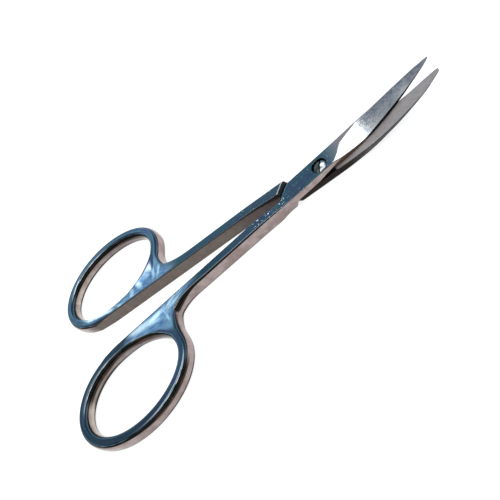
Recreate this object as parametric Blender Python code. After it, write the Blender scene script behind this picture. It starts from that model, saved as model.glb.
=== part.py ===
"""Small curved grooming scissors: two forged steel halves held by one slotted screw.

Each half is drawn in a frame of its own, as it lies when the scissors are closed: the pivot
stands at the origin, the point lies towards +X, and the finger ring and the cutting edge lie on
the -Y side. The upper half is then turned open one way, and the lower half is mirrored and turned
the other way.
Metres, +Z up, and the underside of the handles is at zero.
"""

import math

import bmesh
import bpy
import numpy as np

# The bar that both halves are forged from
BAR_HEIGHT = 0.0028
OPENING = math.radians(8.9)

# The finger rings: an egg shape with a rounded rim
RING_HALF_LENGTH = 0.01171
RING_HALF_BREADTH = 0.00798
RING_TAPER_SHARE = -0.043
RING_TILT = math.radians(-4.1)
RIM_WIDTH = 0.00244
RIM_CORNER = 0.00095
FACE_END_TURN = math.radians(95)
RIM_START_TURN = math.radians(128)

# The web that joins a ring to its shank, dished on both faces
WEB_TURN = math.radians(46)
SWELL_POWER = 4.3
DISH_DEPTH = 0.00035
DISH_SLOPE = 0.0012
FLARE_POWER = 3

# The upper half: its handle, and the rounding of its blade's outer edge
UPPER_HANDLE_LENGTH = 0.06478
UPPER_FACE_OFFSET = 0.00045
UPPER_FACE_WALL = 0.00214
UPPER_SHANK_WIDTH = 0.00200
UPPER_FLARE_LENGTH = 0.0070
UPPER_HEEL_REACH = 0.00160
UPPER_CROTCH_TURN = math.radians(32)
UPPER_CROTCH_SPAN = 0.0049
UPPER_SPINE_CORNER = 0.00015

# The lower half, in the same order
LOWER_HANDLE_LENGTH = 0.06584
LOWER_FACE_OFFSET = -0.00065
LOWER_FACE_WALL = 0.00187
LOWER_SHANK_WIDTH = 0.00210
LOWER_FLARE_LENGTH = 0.0100
LOWER_HEEL_REACH = 0.00272
LOWER_CROTCH_TURN = math.radians(30)
LOWER_CROTCH_SPAN = 0.0054
LOWER_SPINE_CORNER = 0.0005
LOWER_TAIL_SETBACK = 0.0004

# The shanks
SHANK_CORNER = 0.00065
FACE_CORNER = 0.00012
HEEL_LENGTH = 0.0060
HEEL_CORNER = 0.0006

# The joint: a plate of half the bar's height on each half, with a slanting tail and stop
TAIL_REACH = 0.0088
TAIL_OFFSET = 0.00025
TAIL_SLANT = 0.0025
TAIL_CORNER_SHARE = 0.5
STOP_GAP = 0.00045
STOP_SLANT = 0.0021
STOP_LEAN = 0.00020
SHOULDER_LENGTH = 0.00045
PLATE_CLEARANCE = 0.00003

# The blades, bent upwards and ground thin towards the point
BLADE_LENGTH = 0.0243
SPINE_REACH = 0.00235
EDGE_REACH = 0.00190
BEND_RADIUS = 0.076
BEND_START = 0.0025
PLATE_CORNER = 0.00008

# Along the blade: place, spine, edge, spine's thickness, edge's thickness, width of the ground face
BLADE_SHARES = (
    (0.100, 0.96, 0.97, 1.00, 1.00, 0.03),
    (0.142, 0.96, 0.98, 1.00, 0.80, 0.22),
    (0.176, 0.96, 0.99, 1.00, 0.67, 0.46),
    (0.210, 0.96, 1.00, 0.97, 0.57, 0.65),
    (0.290, 0.98, 1.01, 0.88, 0.38, 0.79),
    (0.350, 1.00, 1.01, 0.80, 0.28, 0.86),
    (0.405, 1.00, 1.00, 0.71, 0.22, 1.00),
    (0.460, 0.98, 0.97, 0.62, 0.19, 1.00),
    (0.515, 0.94, 0.92, 0.54, 0.17, 1.00),
    (0.570, 0.91, 0.87, 0.48, 0.16, 1.00),
    (0.620, 0.87, 0.80, 0.43, 0.15, 1.00),
    (0.670, 0.82, 0.73, 0.38, 0.14, 1.00),
    (0.720, 0.76, 0.65, 0.33, 0.14, 1.00),
    (0.770, 0.69, 0.56, 0.27, 0.13, 1.00),
    (0.823, 0.60, 0.45, 0.21, 0.13, 1.00),
    (0.870, 0.50, 0.38, 0.18, 0.12, 1.00),
    (0.910, 0.38, 0.31, 0.15, 0.12, 1.00),
    (0.945, 0.26, 0.24, 0.13, 0.11, 1.00),
    (0.975, 0.16, 0.17, 0.12, 0.11, 1.00),
    (0.992, 0.10, 0.10, 0.11, 0.10, 1.00),
    (1.000, 0.05, 0.04, 0.10, 0.10, 1.00),
)

# No rounding takes more than these shares of a section's height and width
TALLEST_CORNER_SHARE = 0.45
WIDEST_CORNER_SHARE = 0.33

# The screw: a slotted head let into the upper plate, its end flush with the underside
HEAD_RADIUS = 0.00135
HEAD_HEIGHT = 0.00065
HEAD_CROWN = 0.00012
CROWN_SHARES = ((1.00, 0.00), (0.91, 0.67), (0.50, 1.00), (0.00, 1.00))
HEAD_RECESS = 0.00010
SEAT_CLEARANCE = 0.00018
SEAT_GAP = 0.00004
SHAFT_RADIUS = 0.00080
SHAFT_CLEARANCE = 0.00006
THREAD_CLEARANCE = 0.00001
SLOT_WIDTH = 0.00042
SLOT_DEPTH = 0.00032
SLOT_TURN = math.radians(64)

# How finely the shapes are divided
RIM_STATIONS = 40
WEB_COLUMNS = 4
CORNER_STEPS = 3
FLARE_STATIONS = 7
SHANK_STATIONS = 7
HEEL_STATIONS = 5
PLATE_STATIONS = 4
RIM_COLUMNS = 3
SIDE_POINTS = 2 * (CORNER_STEPS + 1)
HOLE_SAMPLES = 181
SCREW_SIDES = 32
SHARP_ANGLE = math.radians(35)

# Cutters run past what they cut by this much, and points this close are one point
OVERRUN = 0.0005
WELD_DISTANCE = 0.000001


def clear_scene():
    for obj in list(bpy.data.objects):
        bpy.data.objects.remove(obj, do_unlink=True)


def smooth_step(share):
    share = min(max(share, 0), 1)
    return share * share * (3 - 2 * share)


def blend(first, second, share):
    return first + (second - first) * share


def steel(name, colour, roughness):
    material = bpy.data.materials.new(name)
    material.use_nodes = True
    shader = material.node_tree.nodes["Principled BSDF"]
    shader.inputs["Base Color"].default_value = (*colour, 1)
    shader.inputs["Metallic"].default_value = 1
    shader.inputs["Roughness"].default_value = roughness
    return material


# The plan of a half: points round its ring and lines across its shank and blade


def egg_point(turn):
    """A point of the ring's hole about its own centre, and the direction straight out of it."""
    taper = 1 + RING_TAPER_SHARE * math.cos(turn)
    along = RING_HALF_LENGTH * math.cos(turn)
    across = RING_HALF_BREADTH * math.sin(turn) * taper
    slope = math.cos(turn) * taper - RING_TAPER_SHARE * math.sin(turn) ** 2
    outward = np.array([RING_HALF_BREADTH * slope, RING_HALF_LENGTH * math.sin(turn)])
    tilt = np.array([
        [math.cos(RING_TILT), -math.sin(RING_TILT)],
        [math.sin(RING_TILT), math.cos(RING_TILT)],
    ])
    return tilt @ np.array([along, across]), tilt @ outward / np.linalg.norm(outward)


class Half:
    """The sizes of one half that differ from the other's, and the plan that follows from them."""

    def __init__(self, is_upper):
        self.is_upper = is_upper
        self.name = "upper_half" if is_upper else "lower_half"
        length = UPPER_HANDLE_LENGTH if is_upper else LOWER_HANDLE_LENGTH
        wall = UPPER_FACE_WALL if is_upper else LOWER_FACE_WALL
        self.face = UPPER_FACE_OFFSET if is_upper else LOWER_FACE_OFFSET
        self.shank = UPPER_SHANK_WIDTH if is_upper else LOWER_SHANK_WIDTH
        self.flare = UPPER_FLARE_LENGTH if is_upper else LOWER_FLARE_LENGTH
        self.heel = UPPER_HEEL_REACH if is_upper else LOWER_HEEL_REACH
        self.crotch_turn = UPPER_CROTCH_TURN if is_upper else LOWER_CROTCH_TURN
        self.crotch_span = UPPER_CROTCH_SPAN if is_upper else LOWER_CROTCH_SPAN
        self.spine_corner = UPPER_SPINE_CORNER if is_upper else LOWER_SPINE_CORNER
        self.tail_x = -TAIL_REACH if is_upper else LOWER_TAIL_SETBACK - TAIL_REACH
        turns = np.linspace(0, 2 * math.pi, HOLE_SAMPLES)
        hole = np.array([egg_point(turn)[0] for turn in turns])
        centre_x = RIM_WIDTH - length - hole[:, 0].min()
        centre_y = self.face - wall - hole[:, 1].max()
        self.centre = np.array([centre_x, centre_y])
        self.crotch = self.ring_line(self.crotch_turn)[1]
        self.web_end = self.ring_line(WEB_TURN)[1]

    def ring_line(self, turn):
        """A line across the rim: its point on the hole and its point on the outside."""
        turn %= 2 * math.pi
        offset, outward = egg_point(turn)
        inner = self.centre + offset
        reach = RIM_WIDTH
        if 0 < turn < WEB_TURN:
            swell = (turn / self.crotch_turn) ** SWELL_POWER
            reach = blend(RIM_WIDTH, self.crotch_span, swell)
        elif outward[1] > 0:
            to_face = (self.face - inner[1]) / outward[1]
            reach = to_face if turn < math.pi / 2 else min(RIM_WIDTH, to_face)
        return inner, inner + outward * reach

    def stop_x(self):
        return -(TAIL_REACH + STOP_GAP)

    def shank_lines(self):
        """Lines across the shank from the web to the stop: outer point and facing point of each."""
        lines = []
        heel_start = self.stop_x() - HEEL_LENGTH
        flare_end = self.crotch[0] + self.flare
        for step in range(1, FLARE_STATIONS + 1):
            share = step / FLARE_STATIONS
            outer_x = blend(self.crotch[0], flare_end, share)
            facing_x = blend(self.web_end[0], flare_end, share)
            flare = (self.face - self.shank - self.crotch[1]) * (1 - share) ** FLARE_POWER
            outer = np.array([outer_x, self.face - self.shank - flare])
            lines.append((outer, np.array([facing_x, self.face])))
        for step in range(1, SHANK_STATIONS):
            x = blend(flare_end, heel_start, step / SHANK_STATIONS)
            outer = np.array([x, self.face - self.shank])
            lines.append((outer, np.array([x, self.face])))
        for step in range(HEEL_STATIONS):
            share = step / HEEL_STATIONS
            swell = smooth_step(share)
            outer_x = blend(heel_start, self.stop_x() + STOP_SLANT, share)
            outer = np.array([outer_x, blend(self.face - self.shank, -self.heel, swell)])
            facing_x = blend(heel_start, self.stop_x(), share)
            facing = np.array([facing_x, blend(self.face, -TAIL_OFFSET, swell)])
            lines.append((outer, facing))
        return lines

    def stop_line(self):
        outer = np.array([self.stop_x() + STOP_SLANT, -self.heel])
        return outer, np.array([self.stop_x(), -TAIL_OFFSET])

    def spine_corners(self, share):
        """The roundings of the spine: crisp where the halves meet, broken on the outside."""
        meeting = PLATE_CORNER * share
        outside = self.spine_corner * share
        return (meeting, outside) if self.is_upper else (outside, meeting)


def contact_height(point):
    """The surface where the two plates and blades meet: level at the joint, then bent upwards."""
    reach = max(np.linalg.norm(point) - BEND_START, 0)
    rise = reach**2 / (2 * BEND_RADIUS) if point[0] > 0 else 0
    return BAR_HEIGHT / 2 + rise


# Rings of points: the bar's rounded section, level by level


def side_loop(edge, inwards, corners, low, high):
    """The points of one side, from the underside to the top, with a rounding at each."""
    points = []
    for rounding, level, upwards in ((corners[0], low, 1), (corners[1], high, -1)):
        upright = min(rounding, TALLEST_CORNER_SHARE * (high - low))
        for step in range(CORNER_STEPS + 1):
            turn = math.pi / 2 * step / CORNER_STEPS
            if upwards < 0:
                turn = math.pi / 2 - turn
            x, y = edge + inwards * rounding * (1 - math.sin(turn))
            points.append((x, y, level + upwards * upright * (1 - math.cos(turn))))
    return points


def section_loop(line, corners, levels, columns):
    """The points round a section on a line of the plan, from the underside of the line's start.

    corners holds the roundings of the start and of the end, each for the underside and for the top.
    """
    start, end = line
    width = np.linalg.norm(end - start)
    inwards = (end - start) / width
    widest = width * WIDEST_CORNER_SHARE
    limits = [[min(rounding, widest) for rounding in side] for side in corners]
    first = side_loop(start, inwards, limits[0], *levels(0))
    last = side_loop(end, -inwards, limits[1], *levels(1))
    rows = []
    for side in (0, 1):
        row = []
        for step in range(1, columns + 1):
            reach = blend(limits[0][side], width - limits[1][side], step / (columns + 1))
            x, y = start + inwards * reach
            row.append((x, y, levels(reach / width)[side]))
        rows.append(row)
    underside, top = rows
    return first + top + last[::-1] + underside[::-1]


def even(corner):
    return corner, corner


def bar_levels(dish):
    """The full height of the bar, less the dish of the web on each face."""
    return lambda across: (dish(across), BAR_HEIGHT - dish(across))


def plate_levels(half, line, spine=1, edge=1, ground=0):
    """The heights of the plate or blade along a line across it, from its edge to its spine."""

    def levels(across):
        point = blend(line[0], line[1], across)
        share = blend(edge, spine, min(across / ground, 1)) if ground else spine
        thickness = share * BAR_HEIGHT / 2
        contact = contact_height(point)
        if not half.is_upper:
            return max(contact - thickness, 0), contact - PLATE_CLEARANCE
        top = contact + thickness
        return contact + PLATE_CLEARANCE, top if ground == 1 else min(top, BAR_HEIGHT)

    return levels


# The mesh of a half, section by section


def add_points(bm, half, points):
    side = 1 if half.is_upper else -1
    return [bm.verts.new((x, side * y, z)) for x, y, z in points]


def join_rows(bm, first, second, closed=True):
    """One row of four-sided faces between two rows of as many points."""
    for here in range(0 if closed else 1, len(first)):
        bm.faces.new((first[here - 1], first[here], second[here], second[here - 1]))


def web_dish(across):
    """How deep each face is dished where the web meets the shank."""
    return DISH_DEPTH * math.sin(math.pi * across)


def ring_section(half, turn):
    """The rim's section at one turn round the ring."""
    line = half.ring_line(turn)
    span = np.linalg.norm(line[1] - line[0])
    rounding = smooth_step((turn - FACE_END_TURN) / (RIM_START_TURN - FACE_END_TURN))
    corner = blend(FACE_CORNER, RIM_CORNER, rounding)

    def dish(across):
        near_hole = smooth_step((across * span - RIM_CORNER) / DISH_SLOPE)
        near_outside = smooth_step((span - across * span - corner) / DISH_SLOPE)
        return DISH_DEPTH * near_hole * near_outside

    return section_loop(line, (even(RIM_CORNER), even(corner)), bar_levels(dish), RIM_COLUMNS)


def web_section(half, turn, meeting, across):
    """The section from the hole to where the web runs on into the shank, without its far side."""
    hole = half.ring_line(turn)[0]
    span = np.linalg.norm(meeting - hole)

    def dish(reach):
        return web_dish(across) * smooth_step((reach * span - RIM_CORNER) / DISH_SLOPE)

    corners = even(RIM_CORNER), even(0)
    return open_end(section_loop((hole, meeting), corners, bar_levels(dish), RIM_COLUMNS))


def open_end(loop):
    """The part of a rim's section that leaves out its outer side, from underside to top."""
    top_end = SIDE_POINTS + RIM_COLUMNS
    return loop[top_end + SIDE_POINTS - 1 :] + loop[: top_end + 1]


def add_ring(bm, half):
    """The finger ring and its web. Returns the ring of points that the shank grows from."""
    rims = []
    for step in range(RIM_STATIONS):
        turn = blend(WEB_TURN, 2 * math.pi + half.crotch_turn, step / (RIM_STATIONS - 1))
        rims.append(add_points(bm, half, ring_section(half, turn)))
    for first, second in zip(rims, rims[1:]):
        join_rows(bm, first, second)
    top_end = SIDE_POINTS + RIM_COLUMNS
    face_side = rims[0][top_end : top_end + SIDE_POINTS]
    crotch_side = rims[-1][top_end : top_end + SIDE_POINTS]
    hole_side = half.ring_line(half.crotch_turn)[0]
    start = blend(half.crotch, hole_side, RIM_CORNER / half.crotch_span)
    strips = [open_end(rims[-1])]
    for step in range(1, WEB_COLUMNS + 1):
        across = step / (WEB_COLUMNS + 1)
        meeting = blend(start, half.web_end, across)
        turn = blend(half.crotch_turn, WEB_TURN, across)
        strips.append(add_points(bm, half, web_section(half, turn, meeting, across)))
    strips.append(open_end(rims[0]))
    for first, second in zip(strips, strips[1:]):
        join_rows(bm, first, second, closed=False)
    tops = [strip[-1] for strip in strips[1:-1]]
    undersides = [strip[0] for strip in strips[1:-1]]
    return crotch_side[::-1] + tops + face_side + undersides[::-1]


def shank_sections(half):
    """The rounded bar from the web to the stop, with one sharp edge along its facing side."""
    lines = half.shank_lines()
    loops = []
    for index, line in enumerate(lines):
        flare = min((index + 1) / FLARE_STATIONS, 1)
        heel = max(index + 1 - len(lines) + HEEL_STATIONS, 0) / HEEL_STATIONS
        corner = blend(blend(RIM_CORNER, SHANK_CORNER, flare), HEEL_CORNER, heel)
        levels = bar_levels(lambda across, fade=1 - flare: fade * web_dish(across))
        loops.append(section_loop(line, (even(corner), even(FACE_CORNER)), levels, WEB_COLUMNS))
    return loops


def blade_line(share, spine_share, edge_share):
    """A line straight across the blade or its plate, from the cutting edge to the spine."""
    x = share * BLADE_LENGTH
    return np.array([x, -edge_share * EDGE_REACH]), np.array([x, spine_share * SPINE_REACH])


def joint_sections(half):
    """The plate of half the bar's height, from the stop past the screw to the blade."""
    stop = half.stop_line()
    lean = np.array([STOP_LEAN, 0])
    first_share, spine_share, edge_share = BLADE_SHARES[0][:3]
    edge_y, spine_y = (point[1] for point in blade_line(first_share, spine_share, edge_share))
    shoulder = stop[0] + lean + np.array([SHOULDER_LENGTH, 0])
    shoulder[1] = blend(-half.heel, edge_y, TAIL_CORNER_SHARE)
    slant_x = half.tail_x + TAIL_SLANT
    plate_x = TAIL_SLANT - TAIL_REACH + STOP_SLANT * TAIL_CORNER_SHARE
    heel_corners = even(HEEL_CORNER), even(FACE_CORNER)
    crisp = even(PLATE_CORNER), even(0)
    broken = even(PLATE_CORNER), half.spine_corners(1)
    lines = [
        ((stop[0] + lean, stop[1] + lean), crisp),
        ((shoulder, np.array([half.tail_x, TAIL_OFFSET])), crisp),
        ((np.array([plate_x, edge_y]), np.array([slant_x, spine_y])), broken),
    ]
    for step in range(1, PLATE_STATIONS + 1):
        share = blend(plate_x / BLADE_LENGTH, first_share, step / (PLATE_STATIONS + 1))
        lines.append((blade_line(share, spine_share, edge_share), broken))
    loops = [section_loop(stop, heel_corners, bar_levels(lambda across: 0), WEB_COLUMNS)]
    for line, corners in lines:
        loops.append(section_loop(line, corners, plate_levels(half, line), WEB_COLUMNS))
    return loops


def blade_sections(half):
    """The ground blade, from the plate to the point."""
    loops = []
    for place, spine, edge, spine_share, edge_share, ground in BLADE_SHARES:
        line = blade_line(place, spine, edge)
        corners = even(PLATE_CORNER * edge_share), half.spine_corners(spine_share)
        levels = plate_levels(half, line, spine_share, edge_share, ground)
        loops.append(section_loop(line, corners, levels, WEB_COLUMNS))
    return loops


def named_object(bm, name):
    """A scene object from a mesh whose faces are turned outwards."""
    bmesh.ops.recalc_face_normals(bm, faces=bm.faces)
    mesh = bpy.data.meshes.new(name)
    bm.to_mesh(mesh)
    bm.free()
    obj = bpy.data.objects.new(name, mesh)
    bpy.context.collection.objects.link(obj)
    return obj


def finish(obj, material):
    obj.data.materials.append(material)
    obj.data.shade_smooth()
    obj.data.set_sharp_from_angle(angle=SHARP_ANGLE)


def forged_half(half, material):
    """One half as a single closed skin: ring, web, shank, stop, plate and blade."""
    bm = bmesh.new()
    row = add_ring(bm, half)
    for section in shank_sections(half) + joint_sections(half) + blade_sections(half):
        following = add_points(bm, half, section)
        join_rows(bm, row, following)
        row = following
    bm.faces.new(row)
    obj = named_object(bm, half.name)
    finish(obj, material)
    obj.rotation_euler.z = OPENING / 2 if half.is_upper else -OPENING / 2
    return obj


# The screw and the holes that it needs


def turned(name, profile):
    """A closed round body from a profile of radius and height that starts and ends on the axis."""
    bm = bmesh.new()
    points = [bm.verts.new((radius, 0, height)) for radius, height in profile]
    edges = [bm.edges.new(pair) for pair in zip(points, points[1:])]
    bmesh.ops.spin(
        bm,
        geom=points + edges,
        axis=(0, 0, 1),
        cent=(0, 0, 0),
        angle=2 * math.pi,
        steps=SCREW_SIDES,
        use_merge=True,
    )
    bmesh.ops.remove_doubles(bm, verts=bm.verts, dist=WELD_DISTANCE)
    return named_object(bm, name)


def as_cutter(obj):
    obj.hide_render = True
    obj.display_type = "WIRE"
    return obj


def cut(obj, cutter):
    modifier = obj.modifiers.new(cutter.name, "BOOLEAN")
    modifier.operation = "DIFFERENCE"
    modifier.solver = "EXACT"
    modifier.object = cutter


def head_seat():
    return BAR_HEIGHT - HEAD_RECESS - HEAD_HEIGHT


def pivot_screw(material):
    """The screw: a low crowned head with a slot, over a plain round shaft."""
    seat = head_seat()
    rim = seat + HEAD_HEIGHT - HEAD_CROWN
    profile = [(0, 0), (SHAFT_RADIUS, 0), (SHAFT_RADIUS, seat), (HEAD_RADIUS, seat)]
    profile += [(HEAD_RADIUS * out, rim + HEAD_CROWN * up) for out, up in CROWN_SHARES]
    screw = turned("pivot_screw", profile)
    finish(screw, material)
    bpy.ops.mesh.primitive_cube_add(size=1, location=(0, 0, seat + HEAD_HEIGHT))
    slot = as_cutter(bpy.context.object)
    slot.name = "slot_cutter"
    slot.scale = (2 * HEAD_RADIUS + OVERRUN, SLOT_WIDTH, 2 * SLOT_DEPTH)
    slot.rotation_euler.z = SLOT_TURN
    cut(screw, slot)
    return screw


def screw_hole(name, clearance, seat):
    """A cutter for the shaft's hole, with the head's wider seat above it."""
    hole = SHAFT_RADIUS + clearance
    recess = HEAD_RADIUS + SEAT_CLEARANCE
    profile = [(0, -OVERRUN), (hole, -OVERRUN), (hole, seat), (recess, seat)]
    profile += [(recess, BAR_HEIGHT + OVERRUN), (0, BAR_HEIGHT + OVERRUN)]
    return as_cutter(turned(name, profile))


def build():
    clear_scene()
    upper = forged_half(Half(True), steel("polished_steel", (0.50, 0.53, 0.56), 0.16))
    lower = forged_half(Half(False), steel("worn_steel", (0.46, 0.49, 0.52), 0.20))
    pivot_screw(steel("screw_steel", (0.60, 0.60, 0.60), 0.22))
    cut(upper, screw_hole("upper_hole_cutter", SHAFT_CLEARANCE, head_seat() - SEAT_GAP))
    cut(lower, screw_hole("lower_hole_cutter", THREAD_CLEARANCE, BAR_HEIGHT))


build()
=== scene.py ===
import math

import bmesh
import bpy
import numpy as np
from mathutils import Matrix, Vector


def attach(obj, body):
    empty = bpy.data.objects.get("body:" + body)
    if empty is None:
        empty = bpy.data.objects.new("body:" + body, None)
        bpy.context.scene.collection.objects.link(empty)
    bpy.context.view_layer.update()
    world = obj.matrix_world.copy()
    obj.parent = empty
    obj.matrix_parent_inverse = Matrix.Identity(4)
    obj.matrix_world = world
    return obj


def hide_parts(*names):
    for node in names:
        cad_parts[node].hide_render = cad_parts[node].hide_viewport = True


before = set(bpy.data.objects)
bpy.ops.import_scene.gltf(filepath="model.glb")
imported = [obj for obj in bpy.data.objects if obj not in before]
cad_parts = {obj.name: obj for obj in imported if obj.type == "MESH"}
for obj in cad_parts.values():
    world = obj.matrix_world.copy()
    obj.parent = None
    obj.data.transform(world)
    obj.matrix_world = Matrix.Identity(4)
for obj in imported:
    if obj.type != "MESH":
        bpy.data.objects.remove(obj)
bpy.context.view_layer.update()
bpy.ops.object.select_all(action="DESELECT")

# The upper half
# One forging of stainless steel, polished all over: finger ring, dished web, shank, lap plate
# and ground blade. It turns on the screw, on top of the lower half. Its skin is drawn from
# sections that follow the forging's plan, because no primitive leads to such a shape.

BAR_HEIGHT = 0.0028
OPENING = math.radians(8.9)

RING_HALF_LENGTH = 0.01171
RING_HALF_BREADTH = 0.00798
RING_TAPER = -0.043
RING_TILT = math.radians(-4.1)
RIM_WIDTH = 0.00244
RIM_CORNER = 0.00095
FACE_END_TURN = math.radians(95)
RIM_START_TURN = math.radians(128)
WEB_TURN = math.radians(46)
SWELL_POWER = 4.3
FLARE_POWER = 3
NARROWING_POWER = 0.7
FACE_CORNER = 0.00012
FLARE_CORNER = 0.00050
SHANK_CORNER = 0.00026
HEEL_LENGTH = 0.0060
HEEL_CUT_START = 0.45

TAIL_REACH = 0.0088
TAIL_OFFSET = 0.00025
PLATE_SETBACK = 0.00355
STOP_GAP = 0.00045
STOP_LEAN = 0.00020
STOP_BEVEL = 0.00011
SHOULDER_LENGTH = 0.00045
PLATE_CLEARANCE = 0.00003

BLADE_LENGTH = 0.0243
SPINE_REACH = 0.00235
EDGE_REACH = 0.00190
BEND_RADIUS = 0.076
BEND_START = 0.0025
PLATE_CORNER = 0.00008
FULLY_GROUND = 0.995
LOWER_TIP_FULLER = 0.08
FULLER_START = 0.70
FULLER_LENGTH = 0.2

# Along the blade: place, spine, edge, spine's thickness, edge's thickness, width of the ground face
BLADE_TABLE = np.array((
    (0.100, 0.96, 0.97, 1.00, 1.00, 0.03),
    (0.142, 0.96, 0.98, 1.00, 0.80, 0.22),
    (0.176, 0.96, 0.99, 1.00, 0.67, 0.46),
    (0.210, 0.96, 1.00, 0.97, 0.57, 0.65),
    (0.290, 0.98, 1.01, 0.88, 0.38, 0.79),
    (0.350, 1.00, 1.01, 0.80, 0.28, 0.86),
    (0.405, 1.00, 1.00, 0.71, 0.30, 1.00),
    (0.460, 0.98, 0.97, 0.62, 0.36, 1.00),
    (0.515, 0.94, 0.92, 0.54, 0.40, 1.00),
    (0.570, 0.91, 0.87, 0.48, 0.40, 1.00),
    (0.620, 0.87, 0.80, 0.43, 0.38, 1.00),
    (0.670, 0.82, 0.73, 0.38, 0.34, 1.00),
    (0.720, 0.76, 0.65, 0.33, 0.30, 1.00),
    (0.770, 0.69, 0.56, 0.27, 0.25, 1.00),
    (0.823, 0.60, 0.45, 0.21, 0.19, 1.00),
    (0.870, 0.50, 0.38, 0.18, 0.15, 1.00),
    (0.910, 0.38, 0.31, 0.15, 0.12, 1.00),
    (0.945, 0.26, 0.24, 0.13, 0.11, 1.00),
    (0.975, 0.16, 0.17, 0.12, 0.11, 1.00),
    (0.992, 0.10, 0.10, 0.11, 0.10, 1.00),
    (1.000, 0.05, 0.04, 0.10, 0.10, 1.00),
))

# The web's hollow: its depth, the flats left along hole, outside and facing edge, the slopes, and
# where it starts to run out before the web's end and how softly
DISH_DEPTH = 0.00055
DISH_FLATS = (0.00060, 0.00060, 0.00040)
DISH_SLOPES = (0.0024, 0.0026, 0.0024)
DISH_RUN_OUT = (0.002, 0.009)

# The web's brush finish, which also carries a painted sheen: its margins, how softly they fade,
# and how softly it begins in the rim, at the crotch (its place and its slope) and along the shank
BRUSH_FLATS = (0.00012, 0.00050, 0.00012)
BRUSH_SLOPES = (0.0005, 0.0009, 0.00034)
BRUSH_RIM_SLOPE = 0.0045
BRUSH_CROTCH = (0.0014, 0.0016)
BRUSH_SHANK_SLOPE = 0.0050

RIM_STATIONS = 230
FLARE_STATIONS = 34
SHANK_STATIONS = 26
HEEL_STATIONS = 18
PLATE_STATIONS = 14
BLADE_STATIONS = 170
BLADE_STATION_POWER = 1.25
TABLE_STEPS = 1201
TABLE_EASING = 26
HOLE_POINTS = 721
OUTSIDE_POINTS = 620
CORNER_STEPS = 9
SIDE_POINTS = 2 * (CORNER_STEPS + 1)
COLUMNS = 24
TOP_END = SIDE_POINTS + COLUMNS
WIDEST_CORNER = 0.33
CREASE_HALF = 0.00004
CREASE_SHARE = 1 / 60
WELD = 1e-8

# How tall a rounding is against its width, and the most of the bar's height that it takes
UNDERSIDE_CORNER = (1.0, 0.35)
TOP_CORNER = (1.7, 0.58)

MASKS = ("ground", "meeting", "brushed", "sides", "hole")


def smooth_step(share):
    share = np.clip(share, 0, 1)
    return share * share * (3 - 2 * share)


def blend(first, second, share):
    return first + (second - first) * share


def egg_point(turn):
    """A point of the ring's hole about its own centre, and the direction straight out of it."""
    taper = 1 + RING_TAPER * math.cos(turn)
    point = np.array([RING_HALF_LENGTH * math.cos(turn), RING_HALF_BREADTH * math.sin(turn) * taper])
    slope = math.cos(turn) * taper - RING_TAPER * math.sin(turn) ** 2
    outward = np.array([RING_HALF_BREADTH * slope, RING_HALF_LENGTH * math.sin(turn)])
    tilt = np.array([
        [math.cos(RING_TILT), -math.sin(RING_TILT)],
        [math.sin(RING_TILT), math.cos(RING_TILT)],
    ])
    return tilt @ point, tilt @ outward / np.linalg.norm(outward)


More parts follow.
